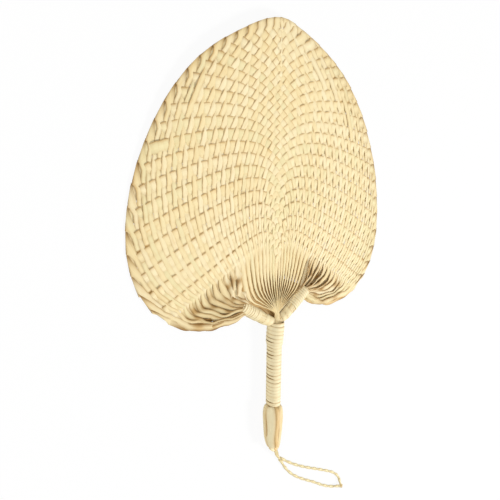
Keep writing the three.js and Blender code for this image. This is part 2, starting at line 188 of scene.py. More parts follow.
# All pieces are of the same dried leaf: straw-coloured, with fine fibres along it, browned cut
# edges, orange stains where it was bent or handled, and now and then a strip that dried greenish.
# Shade is painted into the leaf too: the shade mark darkens it towards brown, and in places the stain
# mark carries painted shade, so that it comes out tan and orange.
CREAM = (0.875, 0.73, 0.415)
PALE = (0.90, 0.785, 0.50)
GREENISH = (0.80, 0.715, 0.40)
TAN = (0.74, 0.50, 0.20)
ORANGE = (0.66, 0.37, 0.09)
UMBER = (0.40, 0.21, 0.055)
BROWN = (0.26, 0.135, 0.032)


def leaf_finish(name):
    finish = Finish(bpy.data.materials.new(name))
    place = finish.node("ShaderNodeUVMap", uv_map="leaf")[0]
    across, along, _ = finish.node("ShaderNodeSeparateXYZ", {"Vector": place})
    marks, _, _, rim = finish.node("ShaderNodeAttribute", attribute_name="marks")
    seed, stain, shade = finish.node("ShaderNodeSeparateColor", {"Color": marks})

    # across goes from one edge of a strip to the other, and along is in metres. The sign of rim
    # says which edge gets the brown line, which is partly the browned cut edge and partly painted
    # shadow.
    def noise(wide, long, scale, detail, roughness=0.5):
        spot = finish.node("ShaderNodeCombineXYZ", {
            "X": across * wide + seed * 97.0, "Y": along * long, "Z": seed * 31.0})[0]
        return finish.node("ShaderNodeTexNoise", {
            "Vector": spot, "Scale": scale, "Detail": detail, "Roughness": roughness})[0]

    fibre = noise(9.0, 42.0, 2.4, 4.0, 0.65)
    cloud = noise(0.8, 60.0, 1.6, 2.0)
    patch = noise(1.5, 22.0, 1.1, 2.0)
    tone = (seed * 7.31).fraction()
    green = (((seed * 13.7).fraction() - 0.80) * 6.0).clamp()
    side = across * 2.0 - 1.0
    edge = abs(side)
    rim = rim * 2.0 - 1.0
    line = (side * rim.math("SIGN", rim)).clamp()

    ground = finish.mix((tone * 1.3 - 0.15).clamp(), CREAM, PALE)
    ground = finish.mix(green * 0.7, ground, GREENISH)
    ground = finish.mix(((cloud - 0.52) * 2.6 * (0.35 + stain)).clamp(), ground, TAN)
    ground = finish.mix(((patch - 0.60) * 5.0).clamp() * 0.45, ground, TAN)
    ground = finish.mix(((patch - 0.70) * 7.0).clamp() * 0.45, ground, ORANGE)
    ground = finish.mix((stain * (0.5 + (fibre - 0.4) * 2.2)).clamp() * 0.9, ground, TAN)
    ground = finish.mix(((stain - 0.45) * 1.9 * (0.3 + cloud)).clamp(), ground, ORANGE)
    ground = finish.mix(((fibre - 0.55) * 5.0).clamp() * 0.30, ground, TAN)
    ground = finish.mix(((0.43 - fibre) * 5.0).clamp() * 0.5, ground, PALE)
    ground = finish.mix((edge ** 5.0) * 0.28, ground, TAN)
    ground = finish.mix((line ** 2.5) * abs(rim) * 0.30, ground, ORANGE)
    ground = finish.mix((line ** 7.0) * abs(rim) * 0.9, ground, UMBER)
    # painted shade: the shade mark darkens the leaf towards brown
    ground = finish.mix((shade * (0.7 + fibre * 0.6)).clamp(), ground, BROWN)
    bump = finish.node("ShaderNodeBump", {
        "Strength": 0.4, "Distance": 0.0005, "Height": fibre * 0.6 + cloud * 0.3})[0]
    rough = (0.52 + (fibre - 0.5) * 0.3 + shade * 0.2).clamp()
    shader = finish.node("ShaderNodeBsdfPrincipled", {
        "Base Color": ground, "Roughness": rough, "Normal": bump, "Specular IOR Level": 0.3})[0]
    finish.node("ShaderNodeOutputMaterial", {"Surface": shader})
    return finish.owner


leaf = leaf_finish("dried leaf")


class Sheaf:
    """Leaf strips that make up one piece, each a thin closed ribbon, in millimetres."""

    def __init__(self):
        self.points, self.faces, self.places, self.marks = [], [], [], []
        self.count = 0

    def ribbon(self, centre, side, up, width, thickness, crown, seed, stain=0.0, shade=0.0,
               fold=0.0, columns=5, side_shade=0.0, rim=0.3):
        """A ribbon along centre, with its side and up directions at each point of it. Its middle
        stands crown above its edges, in a bow or, as fold goes to 1, in a ridge."""
        centre, side, up = (np.asarray(a, float) for a in (centre, side, up))
        n = len(centre)
        width, thickness, crown, stain, shade, fold, rim, side_shade = (
            np.broadcast_to(np.asarray(a, float), (n,))[:, None]
            for a in (width, thickness, crown, stain, shade, fold, rim, side_shade))
        a = np.linspace(-1, 1, columns)
        bow = (1 - fold) * (1 - a ** 2) + fold * (1 - np.abs(a))
        lift = crown * (bow - 0.6)
        body = thickness / 2 * (1 - 0.55 * np.abs(a) ** 4)
        flat = centre[:, None] + side[:, None] * (a * width / 2)[..., None]
        top = flat + up[:, None] * (lift + body)[..., None]
        under = flat + up[:, None] * (lift - body)[..., None]
        points = np.concatenate([top, under[:, ::-1]], axis=1).reshape(-1, 3)

        ring = 2 * columns
        ring_a = np.concatenate([a, a[::-1]])
        along = distances(centre)[:, None] * MM
        every = np.ones((n, ring))
        place = np.stack([every * (ring_a * 0.5 + 0.5), every * along], axis=-1)
        # painted shade: the shade given, and more of it towards the edges as side_shade says
        dark = np.clip(shade + side_shade * np.abs(ring_a) ** 1.5, 0, 1)
        mark = np.stack([every * seed, every * np.clip(stain, 0, 1), dark,
                         every * (0.5 + rim / 2)], axis=-1)

        k = np.arange(ring)
        start = ring * np.arange(n - 1)[:, None]
        around = np.stack([start + k, start + (k + 1) % ring, start + ring + (k + 1) % ring,
                           start + ring + k], axis=-1).reshape(-1, 4)
        c = np.arange(columns - 1)
        first = np.stack([c, ring - 1 - c, ring - 2 - c, c + 1], axis=-1)
        last = first[:, ::-1] + ring * (n - 1)
        faces = np.concatenate([around, first, last])
        corner = points[faces]
        volume = sum(np.einsum("ij,ij->", corner[:, 0], np.cross(corner[:, m], corner[:, m + 1]))
                     for m in (1, 2))
        if volume < 0:
            faces = faces[:, ::-1]
        self.points.append(points)
        self.faces.append(faces + self.count)
        self.places.append(place.reshape(-1, 2))
        self.marks.append(mark.reshape(-1, 4))
        self.count += n * ring

    def piece(self, name, body, slot, *nodes):
        points = np.concatenate(self.points) * MM
        faces = np.concatenate(self.faces)
        mesh = bpy.data.meshes.new(name)
        mesh.from_pydata(points.tolist(), [], faces.tolist())
        layer = mesh.uv_layers.new(name="leaf")
        layer.data.foreach_set("uv", np.concatenate(self.places)[faces.ravel()].ravel())
        marks = mesh.color_attributes.new("marks", "FLOAT_COLOR", "POINT")
        marks.data.foreach_set("color", np.concatenate(self.marks).ravel())
        mesh.shade_smooth()
        mesh.set_sharp_from_angle(angle=math.radians(50))
        mesh.materials.append(leaf)
        made = bpy.data.objects.new(name, mesh)
        bpy.context.scene.collection.objects.link(made)
        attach(made, body)
        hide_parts(*nodes)
        return made


def unit(a):
    return a / np.maximum(np.linalg.norm(a, axis=-1, keepdims=True), 1e-9)


def along_path(points):
    """Directions along a path."""
    return unit(np.gradient(np.asarray(points, float), axis=0))


def square_to(way, a):
    """The part of a that is square to the way, as directions."""
    return unit(a - (a * way).sum(1, keepdims=True) * way)


def distances(points):
    """How far along a path each of its points is."""
    return np.concatenate([[0], np.cumsum(np.linalg.norm(np.diff(points, axis=0), axis=1))])


def read_off(at, places, values):
    """Rows of values that stand at these places, read off at others."""
    return np.stack([np.interp(at, places, column) for column in values.T], axis=-1)


def smooth_path(points, count):
    """Evenly spaced points on a smooth curve through the given ones."""
    p = np.asarray(points, float)
    p = np.vstack([2 * p[0] - p[1], p, 2 * p[-1] - p[-2]])
    dense = []
    for i in range(len(p) - 3):
        p0, p1, p2, p3 = p[i:i + 4]
        t1 = np.linalg.norm(p1 - p0) ** 0.5
        t2 = t1 + np.linalg.norm(p2 - p1) ** 0.5
        t3 = t2 + np.linalg.norm(p3 - p2) ** 0.5
        t = np.linspace(t1, t2, 40)[:, None]
        a1 = (t1 - t) / t1 * p0 + t / t1 * p1
        a2 = (t2 - t) / (t2 - t1) * p1 + (t - t1) / (t2 - t1) * p2
        a3 = (t3 - t) / (t3 - t2) * p2 + (t - t2) / (t3 - t2) * p3
        b1 = (t2 - t) / t2 * a1 + t / t2 * a2
        b2 = (t3 - t) / (t3 - t1) * a2 + (t - t1) / (t3 - t1) * a3
        dense.append(((t2 - t) * b1 + (t - t1) * b2)[:-1] / (t2 - t1))
    dense = np.vstack(dense + [p[-2:-1]])
    run = distances(dense)
    return read_off(np.linspace(0, run[-1], count), run, dense)


def path_length(points):
    return float(np.linalg.norm(np.diff(points, axis=0), axis=1).sum())


def round_frame(path):
    """The ways along a path, to its side and up."""
    t = along_path(path)
    side = unit(np.cross(t, np.array([0, 0, 1.0])))
    return t, side, np.cross(side, t)


def spokes(beside, up, phase):
    """The ways out from a path, at these angles round it."""
    return beside * np.cos(phase)[:, None] + up * np.sin(phase)[:, None]


# Lengths are in millimetres from the butt's end. The frame's origin is at the middle of the fan.
MIDDLE_Y = 198.75
LOOP_HEADING = math.radians(-42)
LOOP_SPLIT = np.array([12.5, -17.3, 1.95])
CORD_DIAMETER = 2.3
UPPER_RUN = [(23, -24.6), (34.6, -32.5), (48.4, -40.3), (66.3, -49.2), (82.6, -57.5), (91, -62.6),
             (98.2, -70)]
LOWER_RUN = [(19.6, -28.6), (27.1, -38.3), (37.3, -47.4), (49, -55.2), (62.2, -63.2), (73.4, -70.6),
             (86.1, -77.4)]
KNOT = np.array([102.5, -82.6, 2.5])
KNOT_RADIUS = 2.5
ROOT_END_RADIUS = 1.6
GAP = 0.35
TWIST_LENGTH = 20.0
CORD_POINTS = 37
OFF_TABLE = 0.25  # keeps the strands, which stand out from the path, above the table
heading = np.array([math.cos(LOOP_HEADING), math.sin(LOOP_HEADING), 0])
hinge_axis = np.array([heading[1], -heading[0], 0])
origin = np.array([0, MIDDLE_Y, 0])


def cord_run(points, sign):
    height = CORD_DIAMETER / 2 + 0.1
    start = LOOP_SPLIT + heading * (ROOT_END_RADIUS + GAP)
    start = start + hinge_axis * sign * (CORD_DIAMETER + GAP) / 2
    route = [np.array([x, y, height]) for x, y in points]
    to_knot = unit(KNOT - route[-1])
    end = KNOT - to_knot * (KNOT_RADIUS + GAP)
    leave = start + heading * 1.5 * CORD_DIAMETER
    leave[2] = (start[2] + height) / 2
    return smooth_path([start, leave, *route, end], CORD_POINTS)


def twisted(sheaf, path, diameter, turns, seed, plies=2, end=1.0):
    """Strands of leaf twisted round each other along a path. At the path's end the diameter is
    down to the share end."""
    n = max(24, int(turns * 14))
    path = smooth_path(path, n)
    t, side, up = round_frame(path)
    turn = np.linspace(0, 2 * math.pi * turns, n)
    diameter = diameter * np.interp(np.linspace(0, 1, n), [0, 0.6, 1], [1, 1, end])
    for ply in range(plies):
        out = spokes(side, up, turn + 2 * math.pi * ply / plies)
        centre = path + out * (diameter * 0.17)[:, None] + [0, 0, OFF_TABLE]
        lay = unit(np.cross(out, t))
        sheaf.ribbon(centre - origin, lay, out, diameter * 1.25, diameter * 0.46, diameter * 0.10,
                     seed=seed + 0.146 * ply, shade=0.05, side_shade=0.12, columns=7, rim=0.0)


# the knot is one strand in three loops
knot_turn = np.linspace(0, 2 * math.pi, 60)
knot_path = np.stack([
    (np.sin(knot_turn) + 2 * np.sin(2 * knot_turn)) * 0.52,
    (np.cos(knot_turn) - 2 * np.cos(2 * knot_turn)) * 0.52,
    -np.sin(3 * knot_turn) * 0.75,
], axis=1) + KNOT
knot_way = along_path(knot_path)
knot_lay = unit(np.cross(unit(knot_path - KNOT), knot_way))
sheaf = Sheaf()
sheaf.ribbon(knot_path - origin, knot_lay, np.cross(knot_way, knot_lay), 1.9, 1.1, 0.5, seed=0.44,
             stain=0.25, side_shade=0.3, columns=7)
knot = sheaf.piece("cord_knot", "loop", "twisted_leaf", "loop_knot")

for word, points, sign, seed, carried in (("upper", UPPER_RUN, -1, 0.362, [knot]),
                                          ("lower", LOWER_RUN, 1, 0.508, [])):
    route = cord_run(points, sign)
    sheaf = Sheaf()
    twisted(sheaf, route, CORD_DIAMETER, path_length(route) / TWIST_LENGTH, seed)
    cord = sheaf.piece(f"twisted_cord_{word}", "loop", "twisted_leaf", f"loop_cord_{word}")

ROOT_DIAMETER = 2.9
ROOT_TURNS = 2.0
ball = np.array([0, 2.05, AXIS_Z])
toward = unit((LOOP_SPLIT - ball) * [1, 1, 0])
root_path = [ball, ball + toward * 5, LOOP_SPLIT - toward * 4.8 + [0, 0, 1.0],
             LOOP_SPLIT + heading * 1.4]
sheaf = Sheaf()
twisted(sheaf, root_path, ROOT_DIAMETER, ROOT_TURNS, 0.51, plies=3, end=0.55)
sheaf.piece("loop_root", "loop_root", "twisted_leaf", "loop_neck")


# ---- Blade
# Two families of leaf strips, one from each side of the neck. A strip runs up its own half, bends
# over the middle line into a row of the other half, is folded at the edge there and runs back down.
NECK_Y = 126.5
LOBE_Y = 136.5
TIP_Y = 397.5
HALF_WIDTH = 141.0
BLADE_HEIGHT = 261.0
CROWN = 8.0
CURVE = CROWN / HALF_WIDTH ** 2
EDGE_POINTS = 801
OUTLINE = [(0.312, 0.034), (0.461, 0), (0.631, 0.008), (0.787, 0.038), (0.897, 0.096),
           (0.961, 0.169), (1, 0.287), (0.954, 0.479), (0.858, 0.621), (0.73, 0.741),
           (0.539, 0.856), (0.234, 0.958)]

half = [(x * HALF_WIDTH, LOBE_Y + y * BLADE_HEIGHT) for x, y in OUTLINE]
whole = [(-x, y) for x, y in half] + [(0, TIP_Y)] + half[::-1]
edge_line = smooth_path(whole, 2 * EDGE_POINTS - 1)[:EDGE_POINTS][::-1]
edge_along = along_path(edge_line)
edge_inward = np.stack([-edge_along[:, 1], edge_along[:, 0]], axis=1)
edge_share = np.linspace(0, 1, EDGE_POINTS)


def left_edge(share, inset=0.0):
    """A point of the left edge, from the tip (0) round to the shoulder (1)."""
    at, inward = (read_off(share, edge_share, a) for a in (edge_line, edge_inward))
    return at + inward * inset


# The net is laid out from its rows: where each leaves the edge, meets the middle line and bows.
ROWS = 22
LAST_FOLD = 0.826
FOLD_SPACING = (0.366, 0.202)
NET_INSET = 4.0
MIDDLE_TOP = TIP_Y - NET_INSET
MIDDLE_FALL = MIDDLE_TOP - 181.5
MIDDLE_WAY = (0, 1.147, -0.998, 0.851)
MIDDLE_SLOPE = (1.147, -1.996, 2.553)
ROW_BOW = ((67.0, 107.8, -180.0), (-69.8, 178.8, -81.7), (176.4, -4.6, -177.8))
ROW_SPREAD = ((-0.26, 1.44, -1.218), (-0.841, 1.489, -0.992))
ROW_DIVE = 11.0


def fold_share(v):
    """How far round the edge row v is folded; v is 0 at the tip and 1 at the last row."""
    early, swing = FOLD_SPACING
    return LAST_FOLD * (v - early * v * (1 - v) + swing * v * (1 - v) * (2 * v - 1))


def curve_of(terms, v):
    """The sum of these terms, each times the next power of v."""
    return sum(term * v ** k for k, term in enumerate(terms))


def row_point(v, share):
    """Where row v of the left half runs, from the edge (share 0) to the middle line (share 1)."""
    start = left_edge(fold_share(v), NET_INSET)
    middle = MIDDLE_TOP - MIDDLE_FALL * curve_of(MIDDLE_WAY, v)
    middle_slope = -MIDDLE_FALL * curve_of(MIDDLE_SLOPE, v)
    narrow, wide = (curve_of(terms, v) for terms in ROW_SPREAD)
    bow = [v * curve_of(terms, v) for terms in ROW_BOW]
    rise = middle - start[..., 1]
    dive = (v * middle_slope - rise + sum(bow)) / (ROW_DIVE - 1)
    x = start[..., 0] * (1 - share) * (1 + narrow * share + wide * share ** 2)
    y = (start[..., 1] + rise * share
         + share * (1 - share) * (bow[0] + bow[1] * share + bow[2] * share ** 2)
         + dive * (share ** ROW_DIVE - share))
    return np.stack([x, y], axis=-1)


def net(strip, row):
    """Where an upright strip of the left half crosses a row. Rows count from the tip; strips count
    from the middle line, and the strip that row i turns into at the edge is -1 - i."""
    p, v = np.broadcast_arrays((np.asarray(strip, float) + 0.5) / ROWS,
                               (np.asarray(row, float) + 0.5) / ROWS)
    v = np.maximum(v, 1e-6)
    return row_point(v, np.clip((p + v) / (2 * v), 0, 1))


def dome(x):
    """Height of the blade, which is highest on the middle line."""
    return AXIS_Z - CURVE * x * x


def sweep(p0, m0, p1, m1, count):
    """Points of a curve that sets out from p0 along m0 and arrives at p1 along m1."""
    s = np.linspace(0, 1, count)[:, None]
    return ((2 * s ** 3 - 3 * s ** 2 + 1) * p0 + (s ** 3 - 2 * s ** 2 + s) * m0
            + (3 * s ** 2 - 2 * s ** 3) * p1 + (s ** 3 - s ** 2) * m1)


chance = np.random.default_rng(7)


def hand(run, amount, *waves):
    """Slow unevenness of handwork, in waves of these lengths along the strip."""
    return sum(chance.uniform(-amount, amount) * np.sin(run * 2 * math.pi / wave
                                                        + chance.uniform(0, 6.3))
               for wave in waves)


def crossings(first, last, offsets):
    """Places from one crossing to another, set closer together where the strip dips."""
    low, high = min(first, last), max(first, last)
    every = (np.arange(math.floor(low), math.ceil(high) + 1)[:, None] + offsets).ravel()
    every = np.sort(every[(every > low + 0.04) & (every < high - 0.04)])
    line = np.concatenate([[low], every, [high]])
    return line if last > first else line[::-1]


def stretch(xy, width, lift, shade, roll, rim, stain, corners=0.0, crown=0.06, fold=0.0):
    """One stretch of a strip: its course, and at each point how wide, high, bowed, rolled and creased
    it is, its painted shade, its brown edge line, its stain, which in places carries painted shade,
    and its painted shade along the edges."""
    rest = (width, lift, crown, shade, roll, fold, rim, stain, corners)
    return np.column_stack([xy, *(np.broadcast_to(a, len(xy)) for a in rest)])


# where some of these stand among the columns of a stretch
WIDTH, LIFT, SHADE, ROLL, RIM, CORNERS = 2, 3, 5, 6, 8, 10

WIDEST = 9.6
OVERLAP = 1.09  # a strip's width, as a share of the distance to the next
CROSSING = 0.30  # how far a strip rises or sinks where it crosses another
BETWEEN_ROWS = 0.7  # how far it rises where the rows leave room, as a share of that
DIP = 1.6  # the length over which it goes down
SHADOW_MARK = 0.047  # length of the painted shadow where it dips, as a share of the way between crossings
TUCK = 0.085  # how far it is tilted, in radians, towards the side that LIFTED points to
LIFTED = np.array([-0.5, 0.86])


def woven(xy, beside, along, place, start, widest, middle, outermost, shadow_when, shadow_side):
    """A stretch in the weave, through the points xy, where place counts the crossings. beside and
    along are the steps to the next strip and crossing, start is +1 if the strip is over at even
    crossings, and widest is the most that it passes over.
    middle and outermost are its crossings on the middle line and by the edge. It gets a painted
    shadow on one side of each crossing, the side given by the last argument, at the crossings where
    it is over (if the argument before is 1) or under (-1), more so by the edge, and near the middle
    line the lower rows have weaker marks."""
    t = along_path(xy)
    pitch = np.abs(beside[:, 0] * t[:, 1] - beside[:, 1] * t[:, 0])
    length = np.linalg.norm(along, axis=1)
    nearest = np.round(place)
    away = np.abs(place - nearest)
    sign = start * np.where(nearest % 2 == 0, 1, -1)
    covered = 0.5 * np.minimum(1, widest / length)
    between = BETWEEN_ROWS * np.clip((0.5 - covered) / 0.1, 0, 1)
    dip = np.clip(DIP / length, 0.06, 0.14)
    low, high = covered - dip, np.minimum(covered + dip, 0.5)
    share = np.clip((away - low) / (high - low), 0, 1)
    share = share ** 2 * (3 - 2 * share)
    over = sign * (1 - share) + between * share
    spare = 0.15 * np.exp(-((place - middle) / 1.2) ** 2)
    width = np.minimum((OVERLAP + 0.03 * over + spare) * pitch, WIDEST)
    dipping = np.exp(-((away - covered) / SHADOW_MARK) ** 2)
    painted_shadow = dipping * (sign == shadow_when) * ((place - nearest) * shadow_side > 0)
    outer = np.exp(-((place - outermost) / 2.2) ** 2) * min(1.15, 0.2 + abs(outermost) / 8)
    luck = chance.uniform(0, 1, 3 * ROWS)[(nearest + ROWS + 2).astype(int)]
    painted_shadow = painted_shadow * (0.05 + 1.5 * luck ** 2)
    quiet = 1 - 0.75 * np.exp(-((place - middle) / 2.6) ** 2) * min(1, max(0, (middle - 11) / 6))
    # A little painted shade falls where the strip dips, and the painted shadow goes into both its shade
    # and its stain, so that it comes out brown and orange. Near the edge it also gets painted shade
    # along its edges. The brown edge line is stronger on the floats that are over.
    return stretch(xy, width, CROSSING * over * (0.75 + 0.5 * luck),
                   shade=0.01 + 0.03 * dipping + (0.26 + 0.45 * outer) * painted_shadow * quiet,
                   roll=TUCK * (0.5 + luck),
                   rim=(0.34 + 0.52 * (away < covered) * (sign > 0) + 0.14 * outer) * quiet,
                   stain=0.12 * dipping + (0.5 + outer) * painted_shadow * quiet,
                   corners=0.30 * outer)


# A few strips skip some crossings and lie loose over them: where along the strip, and how far.
NOT_LOOSE = (99, 1)
LOOSE_ROWS = {("left", 13): (-11.7, 1.4), ("right", 3): (-2.9, 0.9), ("right", 4): (-4.0, 0.9)}
LOOSE_UPRIGHTS = {("right", -3): (6.5, 1.5), ("right", -5): (8.3, 1.4), ("right", -7): (10.8, 1.7),
                  ("left", -7): (9.6, 1.2)}


def loosened(part, place, loose):
    """Raise a stretch over the crossings that it skips; there it loses its painted shade and has brown
    edge lines, with a little painted shade along its edges.
    """
    middle, reach = loose
    share = np.exp(-((place - middle) / reach) ** 4)
    part[:, LIFT] += share * (0.85 - part[:, LIFT])
    part[:, WIDTH] = np.minimum(part[:, WIDTH] * (1 + 0.08 * share), WIDEST)
    part[:, SHADE] *= 1 - share
    part[:, RIM] += share * (0.95 - part[:, RIM])
    part[:, CORNERS] = part[:, CORNERS] * (1 - share) + 0.16 * share
    return part


def upright(strip, first, last, start, loose=NOT_LOOSE):
    """An upright strip of the left half, from one row to another."""
    rows = crossings(first, last, np.array([-0.42, -0.32, -0.24, -0.14, 0, 0.14, 0.24, 0.32, 0.42]))
    inner = np.minimum(strip + 0.25, rows)
    beside = (net(inner, rows) - net(strip - 0.25, rows)) / (inner - strip + 0.25)[:, None]
    along = (net(strip, rows + 0.25) - net(strip, rows - 0.25)) * 2
    part = woven(net(strip, rows), beside, along, rows, start, WIDEST, strip, -strip, -1, -1)
    return loosened(part, rows, loose)


def across(row, first, last, start, shadow_side, loose=NOT_LOOSE):
    """A row of the left half, from one upright strip to another."""
    strips = crossings(first, last, np.array([-0.46, -0.38, -0.22, 0.22, 0.38, 0.46]))
    upper = np.maximum(row - 0.25, np.abs(strips + 0.5) - 0.5)
    beside = (net(strips, row + 0.25) - net(strips, upper)) / (row + 0.25 - upper)[:, None]
    high, low = np.minimum(strips + 0.25, row), np.maximum(strips - 0.25, -1 - row)
    along = (net(high, row) - net(low, row)) / (high - low)[:, None]
    part = woven(net(strips, row), beside, along, strips, start, math.inf, row, -row, 1, shadow_side)
    return loosened(part, strips, loose)


# At the edge the strips swing to meet it at one angle, so that the crease lies along it.
LEAF = 0.35  # thickness of a strip
FOLD_WIDTH = 6.0
FOLD_OVERLAP = 1.12
FOLD_POINTS = 12


def crease_of(row, inset):
    """Where a row is folded, the way of the crease, the way inward, and the strip's angle to it."""
    v = (row + 0.5) / ROWS
    before, after = (left_edge(fold_share(v + d / ROWS), inset) for d in (-0.5, 0.5))
    way = unit(after - before)
    room = np.linalg.norm(after - before)
    return ((before + after) / 2, way, np.array([-way[1], way[0]]),
            math.asin(min(0.93, FOLD_WIDTH / (1.07 * room))))


def at_fold(part, crease, front, stain, leaving):
    """Join to part the stretch between its outermost crossing and the crease. It lies in front of
    the fold (front 1) or behind it (-1), and leaves the crease or arrives there."""
    spot, way, inward, angle = crease
    way_out = way * math.cos(angle) - inward * math.sin(angle)
    way_in = way * math.cos(angle) + inward * math.sin(angle)
    woven_end, following = part[[0, 1]] if leaving else part[[-1, -2]]
    inner, beyond = woven_end[:2], following[:2]
    reach = np.linalg.norm(inner - spot)
    if leaving:
        course = sweep(spot, way_in * reach, inner, unit(beyond - inner) * reach, FOLD_POINTS)[:-1]
    else:
        course = sweep(inner, unit(inner - beyond) * reach, spot, way_out * reach, FOLD_POINTS)[1:]
    far = np.linalg.norm(course - spot, axis=1)
    inside = far * math.sin(angle)
    share = np.clip(far / reach, 0, 1)
    out = np.clip(1 - inside / 1.5, 0, 1) ** 2
    drawn = FOLD_WIDTH * FOLD_OVERLAP
    width = drawn + (woven_end[WIDTH] - drawn) * share ** 2
    width = width + (2.1 if front < 0 else 1.1) * np.sin(share * math.pi) ** 2
    lift = front * 0.20 * (1 - share) + woven_end[LIFT] * share - 0.5 * out
    # Painted shade darkens the strip close to the crease, much more where it lies behind the fold, and
    # painted shadow darkens its edges in the notch between this fold and the next; a little of the edge
    # darkening, and the stain near the crease, is the fold's own browning.
    shade = 0.01 + (0.16 if front > 0 else 0.2 + 0.9 * stain) * np.clip(1 - far / 3.6, 0, 1) ** 2
    notch_shadow = np.clip(1 - (inside - 0.4) / 2.0, 0, 1)
    laid = stretch(course, width, lift, shade, roll=woven_end[ROLL] * share, rim=0.95,
                   stain=0.04 + 0.7 * (1 - share) ** 2 * stain,
                   corners=0.05 + 0.15 * stain + (0.4 + 0.6 * stain) * notch_shadow)
    return np.vstack([laid, part]) if leaving else np.vstack([part, laid])


def lay_strip(sheaf, part, seed, stain, mirror, creases):
    """Lay one ribbon along its joined stretches, mirrored for the right half. creases gives the way
    of the crease at the points where it has one."""
    xy, (width, lift, crown, shade, roll, fold, rim, stained, corners) = part[:, :2], part[:, 2:].T
    t = along_path(xy)
    beside = np.stack([t[:, 1], -t[:, 0]], axis=1)
    run = distances(xy)
    calm = np.ones(len(xy))
    for k in creases:
        calm = calm * np.clip(np.abs(run - run[k]) / 12, 0, 1)
    xy = xy + beside * (hand(run, 0.17, 61, 23, 9) * calm)[:, None]
    width = width * (1 - np.abs(hand(run, 0.05, 47, 17, 7)) * calm)
    height = np.maximum(dome(xy[:, 0]) + lift, 0.30)
    centre = np.column_stack([xy, height])
    t3 = along_path(centre)
    side3 = np.column_stack([beside, -2 * CURVE * xy[:, 0] * beside[:, 0]])
    side3 = square_to(t3, side3)
    up = np.cross(side3, t3)
    # The strip is rolled up on its edge towards LIFTED, and its brown edge line goes on that same edge,
    # where it is partly the browned edge and partly painted shadow.
    facing = np.clip(3 * (side3[:, :2] * [-1 if mirror else 1, 1]) @ LIFTED, -1, 1)
    roll = roll * facing + hand(run, 0.04, 39, 15) * calm
    turned = np.cos(roll)[:, None], np.sin(roll)[:, None]
    side3, up = side3 * turned[0] + up * turned[1], up * turned[0] - side3 * turned[1]
    for k, crease in creases.items():
        crease = crease * np.sign(np.dot(crease, beside[k]))
        lean = max(0.3, np.dot(crease, beside[k]))
        reach = width[k] / 2 * math.sqrt(1 - min(1, lean) ** 2) / lean + 0.5
        share = np.clip(1 - np.abs(run - run[k]) / reach, 0, 1)[:, None]
        side3 = side3 * (1 - share) + np.array([*crease, 0]) / lean * share
    if mirror:
        centre, side3, up = (a * [-1, 1, 1] for a in (centre, side3, up))
    sheaf.ribbon(centre - origin, side3, up, width, LEAF, crown, seed=seed, stain=stain + stained,
                 shade=shade, fold=fold, side_shade=0.05 + corners, rim=rim * facing)


# Below the last row the outer strips run round the lobe into the shoulder, in two layers. The
# inner ones lie in pairs, one on the other, as ribs that meet above the handle and run into it.
IN_MOUTH = 24
RIBS = 2 * ROWS - IN_MOUTH
SHOULDER_ANGLE = {"left": math.radians(58), "right": math.radians(49)}
SHOULDER_RADIUS = 5.2
SHOULDER_MOUTH = 45.0
NECK = np.array([0, NECK_Y])
LOBE_POINTS = 44
MOUTH_DEPTH = 7
LOBE_SWAY = {"left": 1.5, "right": 1.0}
STREAK_SHADE = {"left": 0.42, "right": 0.22}
LOWER_SHADE = {"left": 0.80, "right": 0.06}
LOBE_EDGING = {"left": 1, "right": 0}


